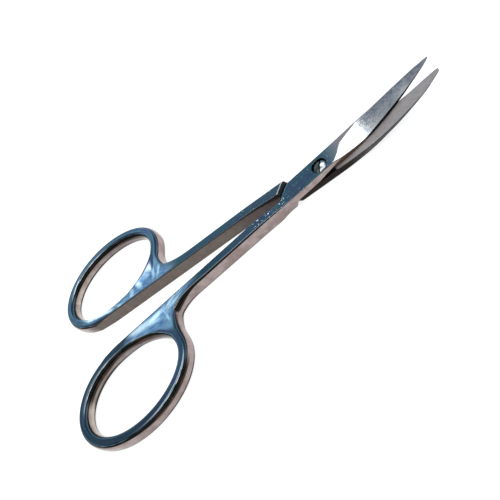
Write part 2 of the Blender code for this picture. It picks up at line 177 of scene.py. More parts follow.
class Plan:
    """The outline of one half, seen from above, with the pivot at the origin and the blade along +X.
    length: from the pivot to the ring's far end. face: where the edge lies that faces the other
    half. wall: the rim's width there. shank: its width. flare: how far the web narrows into it.
    heel: how far out it reaches at the stop. heel_corners: its roundings there, underside and top.
    heel_cut: how far its underside is cut back. crotch_turn and crotch_span: where the web leaves
    the rim, and how broad it is. tail: how far back the plate reaches. stop_slant and slant: how
    far the stop and the plate's end slant. strokes: where the brush finish and its painted sheen
    start, from the ring's centre, and where they end, from the web's end."""

    def __init__(
        self, length, face, wall, shank, flare, heel, heel_corners, heel_cut,
        crotch_turn, crotch_span, stop_slant, tail, slant, strokes,
    ):
        self.face = face
        self.stop_slant = stop_slant
        self.heel_cut = heel_cut
        self.heel_corners = heel_corners
        self.tail = tail
        self.slant = slant
        self.strokes = strokes
        self.shank = shank
        self.flare = flare
        self.heel = heel
        self.crotch_turn = crotch_turn
        self.crotch_span = crotch_span
        self.hole = np.array([egg_point(turn)[0] for turn in np.linspace(0, 2 * math.pi, HOLE_POINTS)])
        self.centre = np.array([
            RIM_WIDTH - length - self.hole[:, 0].min(),
            face - wall - self.hole[:, 1].max(),
        ])
        self.hole = self.hole + self.centre
        self.crotch = self.ring_line(crotch_turn)[1]
        self.web_end = self.ring_line(WEB_TURN)[1]
        turns = np.linspace(math.pi / 2, 2 * math.pi + crotch_turn, OUTSIDE_POINTS)
        outside = [self.ring_line(turn)[1] for turn in turns]
        self.outside = np.array(outside + [line[0] for line in self.shank_lines()])

    def ring_line(self, turn):
        """A line across the rim: its point on the hole and its point on the outside."""
        turn %= 2 * math.pi
        offset, outward = egg_point(turn)
        inner = self.centre + offset
        reach = RIM_WIDTH
        if 0 < turn < WEB_TURN:
            reach = blend(RIM_WIDTH, self.crotch_span, (turn / self.crotch_turn) ** SWELL_POWER)
        elif outward[1] > 0:
            to_face = (self.face - inner[1]) / outward[1]
            reach = to_face if turn < math.pi / 2 else min(RIM_WIDTH, to_face)
        return inner, inner + outward * reach

    def stop_x(self):
        return -(TAIL_REACH + STOP_GAP)

    def shank_lines(self):
        """Lines across the shank from the web to the stop: outer point and facing point of each."""
        lines = []
        heel_start = self.stop_x() - HEEL_LENGTH
        flare_end = self.crotch[0] + self.flare
        for step in range(1, FLARE_STATIONS + 1):
            share = step / FLARE_STATIONS
            outer_x = blend(self.crotch[0], flare_end, share)
            facing_x = blend(self.web_end[0], flare_end, share)
            flare = (self.face - self.shank - self.crotch[1]) * (1 - share) ** FLARE_POWER
            outer = np.array([outer_x, self.face - self.shank - flare])
            lines.append((outer, np.array([facing_x, self.face])))
        for step in range(1, SHANK_STATIONS):
            x = blend(flare_end, heel_start, step / SHANK_STATIONS)
            lines.append((np.array([x, self.face - self.shank]), np.array([x, self.face])))
        for step in range(HEEL_STATIONS):
            share = step / HEEL_STATIONS
            swell = smooth_step(share)
            outer_x = blend(heel_start, self.stop_x() + self.stop_slant, share)
            outer = np.array([outer_x, blend(self.face - self.shank, -self.heel, swell)])
            facing_x = blend(heel_start, self.stop_x(), share)
            facing = np.array([facing_x, blend(self.face, -TAIL_OFFSET, swell)])
            lines.append((outer, facing))
        return lines

    def stop_line(self):
        outer = np.array([self.stop_x() + self.stop_slant, -self.heel])
        return outer, np.array([self.stop_x(), -TAIL_OFFSET])

    def inside(self, points, flats, slopes):
        """1 well inside the web, eased to 0 along its hole, its outside and its facing edge."""
        share = smooth_step((self.face - points[:, 1] - flats[2]) / slopes[2])
        for line, flat, slope in zip((self.hole, self.outside), flats, slopes):
            apart = np.min(np.linalg.norm(points[:, None] - line[None], axis=2), axis=1)
            share = share * smooth_step((apart - flat) / slope)
        return share

    def dish(self, points):
        """How deep the web's hollow is at these points."""
        before, length = DISH_RUN_OUT
        along = (points[:, 0] - self.web_end[0] + before) / length
        return DISH_DEPTH * self.inside(points, DISH_FLATS, DISH_SLOPES) * (1 - smooth_step(along))

    def brushed(self, points):
        """How much of the web's brush finish, with its painted sheen, shows at these points."""
        start, end = self.strokes
        before, slope = BRUSH_CROTCH
        share = self.inside(points, BRUSH_FLATS, BRUSH_SLOPES)
        share = share * smooth_step((points[:, 0] - self.centre[0] - start) / BRUSH_RIM_SLOPE)
        share = share * smooth_step((points[:, 1] - self.crotch[1] + before) / slope)
        return share * (1 - smooth_step((points[:, 0] - self.web_end[0] - end) / BRUSH_SHANK_SLOPE))


def contact_height(points):
    """The surface where the two plates and blades meet: level at the joint, then bent upwards."""
    reach = np.maximum(np.linalg.norm(points, axis=-1) - BEND_START, 0)
    return BAR_HEIGHT / 2 + np.where(points[..., 0] > 0, reach**2 / (2 * BEND_RADIUS), 0)


def section_loop(line, corners, levels, crease=None):
    """The points round a section on a line of the plan. corners: the start's and the end's, each
    underside then top. levels gives underside and top at shares of the line. crease is the share
    where the ground face breaks from the flat."""
    start, end = (np.asarray(point, float) for point in line)
    width = np.linalg.norm(end - start)
    inwards = (end - start) / width
    limits = [[min(rounding, width * WIDEST_CORNER) for rounding in side] for side in corners]
    sides = []
    ends = (start, inwards, limits[0], 0), (end, -inwards, limits[1], 1)
    for point, direction, limit, share in ends:
        low, high = levels(np.array([share]))
        low, high = float(low[0]), float(high[0])
        side = []
        sizes = ((limit[0], low, 1, UNDERSIDE_CORNER), (limit[1], high, -1, TOP_CORNER))
        for rounding, level, upwards, (tall, most) in sizes:
            upright = min(rounding * tall, most * (high - low))
            turns = np.linspace(0, math.pi / 2, CORNER_STEPS + 1)
            if upwards < 0:
                turns = turns[::-1]
            plan = point + direction * (rounding * (1 - np.sin(turns)))[:, None]
            heights = level + upwards * upright * (1 - np.cos(turns))
            side.append(np.column_stack([plan, heights]))
        sides.append(np.vstack(side))
    rows = []
    for side in (0, 1):
        first, last = limits[0][side], width - limits[1][side]
        if crease is None:
            reach = np.linspace(first, last, COLUMNS + 2)[1:-1]
        else:
            gap = min(CREASE_HALF, (last - first) * CREASE_SHARE)
            bend = min(max(crease * width, first + 4 * gap), last - 4 * gap)
            before = np.linspace(first, bend - gap, COLUMNS // 2 + 1)[1:]
            after = np.linspace(bend + gap, last, COLUMNS // 2)[:-1]
            reach = np.concatenate([before, [bend], after])
        plan = start + inwards * reach[:, None]
        rows.append(np.column_stack([plan, levels(reach / width)[side]]))
    underside, top = rows
    return np.vstack([sides[0], top, sides[1][::-1], underside[::-1]])


def undercut(loop, line, depth):
    """A section whose start leans inwards below the middle of the bar."""
    start, end = (np.asarray(point, float) for point in line)
    inwards = (end - start) / np.linalg.norm(end - start)
    share = np.clip((loop[:, :2] - start) @ inwards / np.linalg.norm(end - start), 0, 1)
    below = np.clip(1 - loop[:, 2] / (BAR_HEIGHT / 2), 0, 1)
    loop[:, :2] += inwards * (depth * (1 - share) * below)[:, None]
    return loop


def bar_levels(shares):
    return np.zeros(len(shares)), np.full(len(shares), BAR_HEIGHT)


def bevelled_levels(shares):
    return np.zeros(len(shares)), np.full(len(shares), BAR_HEIGHT - STOP_BEVEL)


def plate_levels(line, is_upper, spine=1, edge=1, ground=0):
    """The heights of the plate or blade along a line across it, from its edge to its spine: spine
    and edge are its thickness there, ground the share of the line that is ground. An upper plate
    is level with the bar until the ground face takes up the whole blade."""
    start, end = (np.asarray(point, float) for point in line)

    def levels(shares):
        contact = contact_height(start + (end - start) * np.asarray(shares)[:, None])
        share = blend(edge, spine, np.clip(shares / ground, 0, 1)) if ground else spine
        thickness = share * BAR_HEIGHT / 2
        if not is_upper:
            return np.maximum(contact - thickness, 0), contact - PLATE_CLEARANCE
        top = contact + thickness
        if ground < FULLY_GROUND:
            top = np.minimum(top, BAR_HEIGHT)
        return contact + PLATE_CLEARANCE, top

    return levels


def blade_rows():
    """The blade's table, eased between its rows and read at every station."""
    fine = np.linspace(BLADE_TABLE[0, 0], 1, TABLE_STEPS)
    window = np.hanning(2 * TABLE_EASING + 1)
    columns = []
    for column in BLADE_TABLE[:, 1:].T:
        straight = np.interp(fine, BLADE_TABLE[:, 0], column)
        before = 2 * straight[0] - straight[TABLE_EASING:0:-1]
        after = 2 * straight[-1] - straight[-2 : -TABLE_EASING - 2 : -1]
        extended = np.concatenate([before, straight, after])
        columns.append(np.convolve(extended, window / window.sum(), "valid"))
    to_tip = np.linspace(1, 0, BLADE_STATIONS) ** BLADE_STATION_POWER
    places = 1 - (1 - BLADE_TABLE[0, 0]) * to_tip
    return [(place, *(np.interp(place, fine, column) for column in columns)) for place in places]


def even(corner):
    return corner, corner


def handle_sections(plan):
    """The rim's sections round the hole, then the strips of the web, then the shank's sections."""
    rims = []
    for turn in np.linspace(WEB_TURN, 2 * math.pi + plan.crotch_turn, RIM_STATIONS):
        rounding = smooth_step((turn - FACE_END_TURN) / (RIM_START_TURN - FACE_END_TURN))
        corners = even(RIM_CORNER), even(blend(FACE_CORNER, RIM_CORNER, rounding))
        rims.append(section_loop(plan.ring_line(turn), corners, bar_levels))
    hole_side = plan.ring_line(plan.crotch_turn)[0]
    start = blend(plan.crotch, hole_side, RIM_CORNER / plan.crotch_span)
    strips = []
    for step in range(1, COLUMNS + 1):
        across = step / (COLUMNS + 1)
        hole = plan.ring_line(blend(plan.crotch_turn, WEB_TURN, across))[0]
        meeting = blend(start, plan.web_end, across)
        strips.append(section_loop((hole, meeting), (even(RIM_CORNER), even(0)), bar_levels))
    shank = []
    lines = plan.shank_lines()
    for index, line in enumerate(lines):
        flare = min((index + 1) / FLARE_STATIONS, 1)
        heel = max(index + 1 - len(lines) + HEEL_STATIONS, 0) / HEEL_STATIONS
        narrowing = max(index + 1 - FLARE_STATIONS, 0) / (len(lines) - FLARE_STATIONS)
        corner = blend(RIM_CORNER, FLARE_CORNER, smooth_step(flare))
        corner = blend(corner, SHANK_CORNER, narrowing ** NARROWING_POWER)
        corners = tuple(blend(corner, last, heel) for last in plan.heel_corners)
        section = section_loop(line, (corners, even(FACE_CORNER)), bar_levels)
        cut = smooth_step((heel - HEEL_CUT_START) / (1 - HEEL_CUT_START))
        shank.append(undercut(section, line, plan.heel_cut * cut))
    return rims, strips, shank


def blade_part_sections(plan, is_upper, spine_corner):
    """The sections of the stop, the lap plate and the blade."""
    stop = plan.stop_line()
    table = blade_rows()
    plate_end, spine, edge, _, _, plate_ground = table[0]
    edge_y, spine_y = -edge * EDGE_REACH, spine * SPINE_REACH
    lean = np.array([STOP_LEAN, 0])
    shoulder = np.array([stop[0][0] + STOP_LEAN + SHOULDER_LENGTH, (edge_y - plan.heel) / 2])
    plate_x = PLATE_SETBACK - TAIL_REACH
    broken = (PLATE_CORNER, spine_corner) if is_upper else (spine_corner, PLATE_CORNER)
    sections = []
    stop_levels = bar_levels if is_upper else bevelled_levels
    for setback, levels in ((STOP_BEVEL, bar_levels), (0, stop_levels)):
        line = np.array(stop) - np.array([setback, 0])
        section = section_loop(line, (plan.heel_corners, even(FACE_CORNER)), levels)
        sections.append(undercut(section, line, plan.heel_cut))
    lines = [
        ((stop[0] + lean, stop[1] + lean), even(0)),
        ((shoulder, np.array([-plan.tail, TAIL_OFFSET])), even(0)),
        ((np.array([plate_x, edge_y]), np.array([plan.slant - plan.tail, spine_y])), broken),
    ]
    for step in range(1, PLATE_STATIONS + 1):
        x = blend(plate_x, plate_end * BLADE_LENGTH, step / (PLATE_STATIONS + 1))
        lines.append(((np.array([x, edge_y]), np.array([x, spine_y])), broken))
    for line, corners in lines:
        levels = plate_levels(line, is_upper)
        sections.append(section_loop(line, (even(PLATE_CORNER), corners), levels, plate_ground))
    for place, spine, edge, thick, thin, ground in table:
        x = place * BLADE_LENGTH
        if not is_upper:
            fuller = LOWER_TIP_FULLER * smooth_step((place - FULLER_START) / FULLER_LENGTH)
            spine, edge = spine + fuller, edge + fuller
        line = np.array([x, -edge * EDGE_REACH]), np.array([x, spine * SPINE_REACH])
        corners = even(PLATE_CORNER * thin), tuple(size * thick for size in broken)
        levels = plate_levels(line, is_upper, thick, thin, ground)
        sections.append(section_loop(line, corners, levels, ground))
    return sections


def skin_faces(loops, rim_count, strip_count, opened):
    """The skin's faces: the rim round the hole, the web across its gap, then shank, plate and blade."""
    faces = []

    def join(first, second, closed=True):
        for here in range(0 if closed else 1, len(first)):
            faces.append((first[here - 1], first[here], second[here], second[here - 1]))

    for first, second in zip(loops, loops[1:rim_count]):
        join(first, second)
    first_rim, last_rim = loops[0], loops[rim_count - 1]
    web = loops[rim_count : rim_count + strip_count]
    strips = [[last_rim[i] for i in opened], *web, [first_rim[i] for i in opened]]
    for first, second in zip(strips, strips[1:]):
        join(first, second, closed=False)
    face_side = first_rim[TOP_END : TOP_END + SIDE_POINTS]
    crotch_side = last_rim[TOP_END : TOP_END + SIDE_POINTS]
    tops = [strip[-1] for strip in web]
    undersides = [strip[0] for strip in web]
    row = crotch_side[::-1] + tops + face_side + undersides[::-1]
    for following in loops[rim_count + strip_count :]:
        join(row, following)
        row = following
    faces.append(row)
    return faces


def skin_masks(loops, rim_count, strip_count, brushed, is_upper):
    """Which points belong to each part of the skin that has its own finish."""
    ground, meeting, sides, hole = (np.zeros(len(brushed)) for _ in range(4))
    handle_count = rim_count + strip_count
    for index, loop in enumerate(loops):
        if rim_count <= index < handle_count:
            wall = loop[COLUMNS + 1 : COLUMNS + SIDE_POINTS]
        else:
            wall = loop[: SIDE_POINTS - 1]
            sides[loop[TOP_END + 1 : TOP_END + SIDE_POINTS]] = 1
        sides[wall] = 1
        hole[wall] = 1 if index < handle_count else 0
    for loop in loops[-BLADE_STATIONS:]:
        if is_upper:
            ground[loop[SIDE_POINTS - 1 : SIDE_POINTS + COLUMNS // 2 + 1]] = 1
        else:
            meeting[loop[SIDE_POINTS:TOP_END]] = 1
    return dict(zip(MASKS, (ground, meeting, brushed, sides, hole)))


def forged_half(name, plan, is_upper, spine_corner):
    """The whole skin of a half, as one closed mesh in the pose of the photograph."""
    rims, strips, shank = handle_sections(plan)
    joint = blade_part_sections(plan, is_upper, spine_corner)
    opened = list(range(TOP_END + SIDE_POINTS - 1, len(rims[0]))) + list(range(TOP_END + 1))
    sections = rims + [strip[opened] for strip in strips] + shank + joint
    counts = np.cumsum([0] + [len(section) for section in sections])
    loops = [list(range(first, last)) for first, last in zip(counts, counts[1:])]
    points = np.vstack(sections)

    handle = counts[len(rims) + len(strips) + len(shank)]
    brushed = np.zeros(len(points))
    brushed[:handle] = plan.brushed(points[:handle, :2])
    depth = plan.dish(points[:handle, :2])
    points[:handle, 2] -= depth * (points[:handle, 2] / (BAR_HEIGHT / 2) - 1)

    if not is_upper:
        points[:, 1] *= -1
    mesh = bpy.data.meshes.new(name)
    mesh.from_pydata(points.tolist(), [], skin_faces(loops, len(rims), len(strips), opened))
    for mask, values in skin_masks(loops, len(rims), len(strips), brushed, is_upper).items():
        where = mesh.attributes.new(mask, "FLOAT", "POINT")
        where.data.foreach_set("value", values.astype(np.float32))
    obj = bpy.data.objects.new(name, mesh)
    bpy.context.collection.objects.link(obj)
    bpy.ops.object.select_all(action="DESELECT")
    obj.select_set(True)
    bpy.context.view_layer.objects.active = obj
    bpy.ops.object.mode_set(mode="EDIT")
    bpy.ops.mesh.select_all(action="SELECT")
    bpy.ops.mesh.remove_doubles(threshold=WELD)
    bpy.ops.mesh.normals_make_consistent(inside=False)
    bpy.ops.object.mode_set(mode="OBJECT")
    mesh.transform(Matrix.Rotation(OPENING / 2 if is_upper else -OPENING / 2, 4, "Z"))
    return obj


def drilled(obj, radius, low=-0.001, high=0.004):
    """A round hole on the pivot axis, cut by a cylinder as a drill would."""
    bpy.ops.mesh.primitive_cylinder_add(
        vertices=ROUND_SIDES, radius=radius, depth=high - low, location=(0, 0, (low + high) / 2)
    )
    drill = bpy.context.object
    cut = obj.modifiers.new("drill", "BOOLEAN")
    cut.operation = "DIFFERENCE"
    cut.solver = "EXACT"
    cut.object = drill
    bpy.context.view_layer.objects.active = obj
    bpy.ops.object.modifier_apply(modifier=cut.name)
    bpy.data.objects.remove(drill)


def marked(obj, is_upper):
    """Gives every point its place in the half's own plan, in millimetres, for the finish to follow."""
    turn = -OPENING / 2 if is_upper else OPENING / 2
    plan = obj.data.attributes.new("plan", "FLOAT_VECTOR", "POINT")
    for vertex, where in zip(obj.data.vertices, plan.data):
        place = Matrix.Rotation(turn, 3, "Z") @ vertex.co * 1000
        where.vector = place if is_upper else (place.x, -place.y, place.z)


def shaded(obj, degrees):
    bpy.ops.object.select_all(action="DESELECT")
    obj.select_set(True)
    bpy.context.view_layer.objects.active = obj
    bpy.ops.object.shade_smooth_by_angle(angle=math.radians(degrees))


class Value:
    """A number in a shader that adds its own Math nodes when it is reckoned with."""

    def __init__(self, finish, socket):
        self.finish = finish
        self.socket = socket

    def reckon(self, operation, *values):
        return self.finish.node("ShaderNodeMath", {"operation": operation}, *values)

    def __add__(self, other):
        return self.reckon("ADD", self, other)

    __radd__ = __add__

    def __sub__(self, other):
        return self.reckon("SUBTRACT", self, other)

    def __rsub__(self, other):
        return self.reckon("SUBTRACT", other, self)

    def __mul__(self, other):
        return self.reckon("MULTIPLY", self, other)

    __rmul__ = __mul__

    def __truediv__(self, other):
        return self.reckon("DIVIDE", self, other)

    def __rtruediv__(self, other):
        return self.reckon("DIVIDE", other, self)

    def __pow__(self, other):
        return self.reckon("POWER", self, other)

    def __abs__(self):
        return self.reckon("ABSOLUTE", self)

    def between(self, low, high):
        """0 below low, 1 above high, eased in between."""
        settings = {"interpolation_type": "SMOOTHSTEP"}
        return self.finish.node("ShaderNodeMapRange", settings, self, low, high, 0, 1)

    def within(self, start, full, fading, end):
        """1 from full to fading, eased to 0 at start and at end."""
        return self.between(start, full) * (1 - self.between(fading, end))


class Nodes:
    """A node tree under construction."""

    def __init__(self, tree):
        self.tree = tree

    def node(self, kind, settings, *inputs, output=0):
        """A node of this kind: its settings first, then the values or links of its sockets."""
        made = self.tree.nodes.new(kind)
        for name, value in settings.items():
            if name == "stops":
                ramp = made.color_ramp.elements
                while len(ramp) < len(value):
                    ramp.new(1.0)
                for stop, (place, colour) in zip(ramp, value):
                    stop.position = place
                    stop.color = (*colour, 1)
            else:
                setattr(made, name, value)
        named = inputs[0].items() if inputs and isinstance(inputs[0], dict) else enumerate(inputs)
        for key, value in named:
            if isinstance(value, Value):
                self.tree.links.new(value.socket, made.inputs[key])
            elif value is not None:
                made.inputs[key].default_value = value
        return Value(self, made.outputs[output])

    def mixed(self, factor, first, second):
        """The colour between two, by a factor."""
        colours = [(*c, 1) if isinstance(c, tuple) and len(c) == 3 else c for c in (first, second)]
        settings = {"data_type": "RGBA"}
        inputs = {0: factor, 6: colours[0], 7: colours[1]}
        return self.node("ShaderNodeMix", settings, inputs, output=2)

    def noise(self, place, scale, detail=2.0, roughness=0.5):
        inputs = {"Vector": place, "Scale": scale, "Detail": detail, "Roughness": roughness}
        return self.node("ShaderNodeTexNoise", {}, inputs)

    def scaled(self, vector, factors):
        """A vector with each of its numbers multiplied."""
        return self.node("ShaderNodeVectorMath", {"operation": "MULTIPLY"}, vector, factors)

    def part(self, vector, axis):
        """One of the three numbers of a vector."""
        return self.node("ShaderNodeSeparateXYZ", {}, vector, output="XYZ".index(axis))


class Finish(Nodes):
    """A material under construction."""

    def __init__(self, name, **fixed):
        self.material = bpy.data.materials.new(name)
        self.material.use_nodes = True
        super().__init__(self.material.node_tree)
        self.shader = self.tree.nodes["Principled BSDF"]
        for socket, value in fixed.items():
            self.shader.inputs[socket.replace("_", " ")].default_value = value

    def apart_from(self, glint, place):
        """How far a place is from a glint's middle, in its half length and half width."""
        x, y, angle, half_length, half_width = glint
        inputs = place, (x, y, 0.0), (0.0, 0.0, math.radians(angle)), (half_length, half_width, 1.0)
        stroke = self.node("ShaderNodeMapping", {"vector_type": "TEXTURE"}, *inputs)
        return self.node("ShaderNodeVectorMath", {"operation": "LENGTH"}, stroke, output=1)

    def feeds(self, **links):
        for socket, value in links.items():
            self.tree.links.new(value.socket, self.shader.inputs[socket.replace("_", " ")])


# The satin part of the ground face, as shares of its reach from the pivot, in millimetres
SATIN_STOPS = (
    (0.40, (0.86, 0.84, 0.82)),
    (0.46, (0.66, 0.63, 0.61)),
    (0.55, (0.50, 0.48, 0.48)),
    (0.66, (0.52, 0.50, 0.50)),
    (0.74, (0.80, 0.74, 0.70)),
    (0.80, (0.44, 0.41, 0.43)),
    (0.88, (0.46, 0.42, 0.43)),
    (0.96, (0.47, 0.45, 0.45)),
)
SATIN_REACH = 25


class ForgedSteel(Finish):
    """Polished stainless steel, with much of its light and shade painted into its colours. Tops carry a
    painted bluish, mottled reflection of the sky, webs a brush finish with painted light streaks,
    walls a painted warm reflection of the table, painted dark bands under their rounded tops and
    painted shade underneath. A blade has a ground or a dull face. Places are in the plan's
    millimetres. wall_colours: rounded walls, then the facing wall. walls_along: (from, to, colour)
    along the piece. glints: (x, y, angle, half length, half width) of the web's painted highlights.
    rim_glints: the same for the painted highlights on the rim."""

    # A painted reflection of the sky on the tops, in several tints, and a painted lighter grey
    PALE, BLUE, CLOUDY = (0.46, 0.56, 0.67), (0.27, 0.39, 0.52), (0.62, 0.70, 0.80)
    PURPLE, GREEN, GREY = (0.46, 0.38, 0.64), (0.26, 0.56, 0.52), (0.55, 0.52, 0.56)
    # A buffed tone, a painted teal reflection, and painted dark roundings along the tops' edges
    BUFFED, TEMPERED, EDGE = (0.41, 0.34, 0.33), (0.12, 0.26, 0.32), (0.040, 0.055, 0.070)
    # Painted shade on low faces past the joint and on the walls round the screw
    STEP, SEAT = (0.10, 0.085, 0.080), (0.020, 0.018, 0.018)
    # The web's painted light-blue reflection, dark to white
    DARK_STROKE, LIGHT_STROKE = (0.065, 0.19, 0.38), (0.60, 0.82, 0.96)
    WHITE_STROKE = (0.90, 0.95, 0.98)
    # Hole walls: a painted reflection, lighter where they face towards the blade, and painted shade
    # high up
    HOLE_FAR, HOLE_END, HOLE_TOP = (0.24, 0.20, 0.20), (0.52, 0.44, 0.39), (0.030, 0.026, 0.022)
    ROSY, BLACK = (0.30, 0.20, 0.19), (0.0, 0.0, 0.0)
    # Painted dark bands where walls round into the top
    BAND, WARM_BAND = (0.028, 0.024, 0.019), (0.062, 0.036, 0.029)
    # A painted highlight line, painted orange on the shank, and a painted highlight on the stop's bevel
    SHEEN, EMBER, BEVEL = (0.78, 0.80, 0.84), (0.34, 0.12, 0.05), (0.90, 0.88, 0.82)
    # The ground face's mirror part painted near white as its reflection, and the indigo clouding of its
    # satin
    MIRROR, INDIGO = (0.95, 0.955, 0.96), (0.15, 0.16, 0.23)
    # A dull meeting face, and painted sparkling highlights where the steel is worn
    DULL, DULL_DARK, FLECK = (0.36, 0.315, 0.30), (0.31, 0.27, 0.265), (0.92, 0.94, 1.0)

    # Where the finish changes along the piece, from the ring to the blade
    RIM_FADES = (-48.0, -38.0)
    EDGE_DARKENS = (-40.0, -34.0)
    TEMPERED_SPAN = (-40.0, -35.0, -26.0, -18.0)
    EMBER_STARTS = (-38.0, -35.0)
    SHEEN_ENDS = (-26.0, -18.0)
    WORN_SPAN = (-24.0, -14.0, 0.0, 4.0)
    GREY_STARTS = (-20.0, -13.0)
    SCRATCHED_SPAN = (-18.5, -15.0, -10.0, -7.0)
    UNDER_ENDS = (-15.0, -13.5)
    STEP_STARTS = (-12.0, -9.0)
    STOP_SPAN = (-9.9, -9.6, -6.6, -6.2)
    MIRROR_ENDS = (11.2, 12.6)

    def __init__(
        self, name, rim_colour, wall_colours, facing_from, walls_along,
        buffed_span, band_height, stop_edge, glints, rim_glints,
    ):
        super().__init__(name)
        self.stop_edge = stop_edge
        self.look_over()
        self.buffed = self.x.between(*buffed_span)
        # The stop's bevel on the lower half, which gets a painted highlight
        self.bevel = self.at_stop * self.up.between(0.3, 0.5) * stop_edge
        # Low faces past the joint, such as the lower half's plate top, painted in shade between the
        # halves
        below = (1 - self.z.between(1.6, 2.2)) * self.x.between(*self.STEP_STARTS)
        reach_squared = self.x * self.x + self.y * self.y
        # Walls round the screw, in its seat and its holes, painted in shade
        seat_wall = (1 - reach_squared.between(2.6, 3.4)) * (1 - self.level.between(0.3, 0.6))
        face = self.web(self.tops(rim_colour), glints, rim_glints)
        face = self.mixed(below, face, self.STEP)
        face = self.mixed(seat_wall, face, self.SEAT)
        wall = self.walls(wall_colours, facing_from, walls_along, band_height)
        colour = self.blade(self.mixed(self.top, wall, face))
        # Painted sparkling highlights, none on the shaded low faces
        fleck = self.flecks() * (1 - below)

        rough = 0.10 + 0.05 * self.patches + 0.16 * self.buffed * self.top + 0.20 * self.brushed
        rough = rough + 0.38 * self.meeting + self.satin * (0.18 + 0.10 * self.mottle)
        # Less metal on the dull meeting face and the buffed tone, and where painted light must show:
        # the web's sheen, the sparkles, the bevel's highlight, the ground face's white reflection and
        # the stop's shade
        metallic = 1 - 0.45 * self.meeting - 0.40 * self.brushed - 0.8 * fleck - 0.7 * self.bevel
        metallic = metallic - 0.30 * self.buffed * self.top * (1 - self.ground)
        metallic = metallic - 0.5 * self.ground * (1 - self.satin) - 0.4 * self.at_stop
        height = self.speckle + 2 * self.satin * self.mottle
        relief = {"Strength": 0.12, "Distance": 0.00002, "Height": height}
        self.feeds(
            Base_Color=self.mixed(fleck, colour, self.FLECK),
            Roughness=rough,
            Metallic=metallic,
            Normal=self.node("ShaderNodeBump", {}, relief),
        )

    def look_over(self):
        """Reads where a point is and how its surface is turned, and makes the patterns."""
        self.place = self.node("ShaderNodeTexCoord", {}, output=3)
        self.plan = self.node("ShaderNodeAttribute", {"attribute_name": "plan"}, output=1)
        self.x, self.y, self.z = (self.part(self.plan, axis) for axis in "XYZ")
        self.ground, self.meeting, self.brushed, self.sides, self.hole = (
            self.node("ShaderNodeAttribute", {"attribute_name": mask}, output=2) for mask in MASKS
        )
        normal = self.node("ShaderNodeTexCoord", {}, output=1)
        right, away, self.up = (self.part(normal, axis) for axis in "XYZ")
        self.level = abs(self.up)
        sideways = (1.0002 - self.level * self.level) ** 0.5
        self.right, self.away = right / sideways, away / sideways
        # Faces turned towards the camera's side: there the dark bands and highlight lines are painted
        self.turned = (self.right * -0.10 - self.away * 0.995).between(0.10, 0.50)
        self.at_stop = self.x.within(*self.STOP_SPAN) * self.right.between(0.5, 0.8)
        upright = 1 - (self.level + 0.3 * (1 - self.turned)).between(0.80, 0.88)
        self.top = (1 - self.sides.between(0.0, 0.1) * upright) * (1 - self.at_stop)
        self.tint = self.noise(self.place, 420.0, 3.0, 0.55)
        self.patches = self.tint.between(0.35, 0.65)
        self.mottle = self.noise(self.place, 1300.0, 4.0, 0.6).between(0.40, 0.68)
        self.speckle = self.noise(self.place, 3200.0, 3.0, 0.6)
        self.grain = self.noise(self.place, 5200.0, 2.0, 0.7)
        self.satin = (self.x + 4.5 * self.grain).between(*self.MIRROR_ENDS) * self.ground

    def tops(self, rim_colour):
        """The colour of the level faces: a painted bluish, mottled reflection of the sky, painted
        darker on the rims, painted teal on the upper half's shank and lighter grey towards the joint on
        the lower half, with a buffed tone past the pivot on the upper half and painted dark roundings
        along their edges.
        """
        x = self.x
        face = self.mixed(self.patches, self.PALE, self.BLUE)
        face = self.mixed(self.mottle * 0.30, face, self.CLOUDY)
        face = self.mixed(self.tint.between(0.51, 0.62) * 0.50, face, self.PURPLE)
        face = self.mixed(self.tint.between(0.49, 0.38) * 0.38, face, self.GREEN)
        # A painted lighter grey towards the joint on the lower half's top
        face = self.mixed(x.between(*self.GREY_STARTS) * self.stop_edge * 0.35, face, self.GREY)
        face = self.mixed(self.buffed, face, self.BUFFED)
        # The rims painted a darker reflection
        face = self.mixed(0.7 - 0.7 * x.between(*self.RIM_FADES), face, rim_colour)
        # A painted teal reflection along the upper half's shank
        tempered = x.within(*self.TEMPERED_SPAN) * (1 - self.stop_edge)
        face = self.mixed(tempered * 0.45, face, self.TEMPERED)
        # Painted dark roundings along the tops' edges, darker along the shank
        edge = self.sides * (1 - self.level.between(0.955, 0.985))
        edge = edge * (0.55 + 0.40 * x.between(*self.EDGE_DARKENS))
        return self.mixed(edge, face, self.EDGE)

    def web(self, face, glints, rim_glints):
        """The face with the web's painted light-blue reflection in brush-like streaks, its painted
        highlights, and the painted highlights on the rim.
        """
        flat = self.scaled(self.plan, (1.0, 1.0, 0.0))
        stretched = self.scaled(self.plan, (0.5, 1.2, 0.0))
        strokes = self.noise(stretched, 0.9, 5.0, 0.65).between(0.36, 0.68) * 0.45
        for glint in glints:
            apart = self.apart_from(glint, flat) + strokes * 0.4
            strokes = strokes + (0.75 + 0.3 * strokes) * (1 - apart.between(0.4, 1.9))
        for glint in rim_glints:
            light = 1 - (self.apart_from(glint, flat) + self.patches * 0.4).between(0.5, 1.9)
            strokes = strokes + light
            self.brushed = self.brushed + light * self.top
        brushing = self.mixed(strokes, self.DARK_STROKE, self.LIGHT_STROKE)
        brushing = self.mixed(strokes * 0.7 - 0.7, brushing, self.WHITE_STROKE)
        return self.mixed(self.brushed, face, brushing)

    def walls(self, wall_colours, facing_from, walls_along, band_height):
        """The colour of the upright faces: a painted warm reflection of the table, hole walls painted
        lighter where they face towards the blade, painted dark bands where they round into the top,
        painted shade underneath, on the stop and high on the hole walls, painted highlight lines along
        the roundings and a painted highlight on the stop's bevel.
        """
        x, level, right = self.x, self.level, self.right
        warm = self.tint.between(0.50, 0.62)
        facing = self.y.between(facing_from - 0.9, facing_from)
